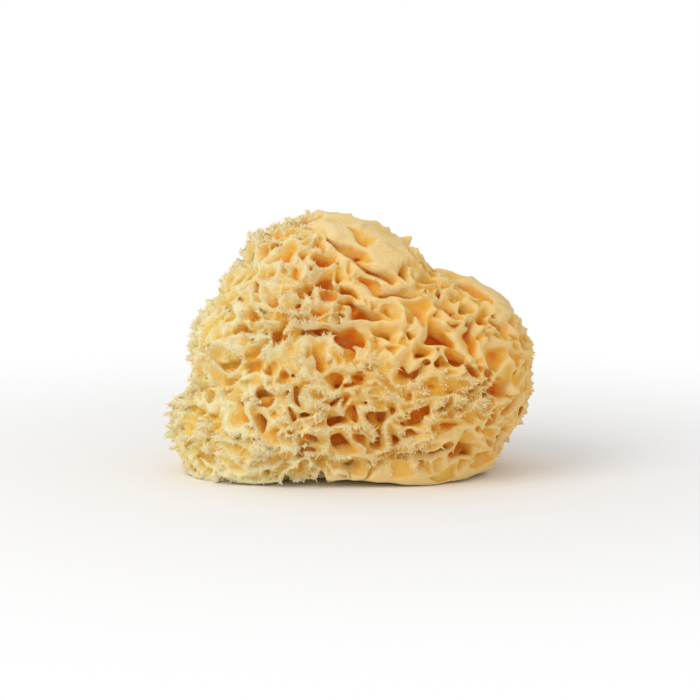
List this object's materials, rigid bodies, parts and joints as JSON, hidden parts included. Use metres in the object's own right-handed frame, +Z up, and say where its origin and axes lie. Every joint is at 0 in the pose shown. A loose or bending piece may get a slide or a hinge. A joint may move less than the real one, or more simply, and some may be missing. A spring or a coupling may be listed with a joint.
{
  "type": "sea sponge",
  "caption": "Dried honeycomb bath sponge: a rounded, lumpy body walled with pits and ridges, cut flat underneath so that it rests.",
  "frame": {"origin": "on the ground, under the middle of the sponge's box", "axes": "+X to the right of the side with the listed pits, +Y away from that side, +Z up from the cut face"},
  "size_m": [0.1506, 0.1064, 0.1058],
  "materials": {
    "spongin": "matt, dry, slightly translucent horn-like fibre; pale cream yellow on the wall tops, orange brown deep in the pits"
  },
  "bodies": {
    "root": {"sponge": "spongin"}
  },
  "joints": []
}
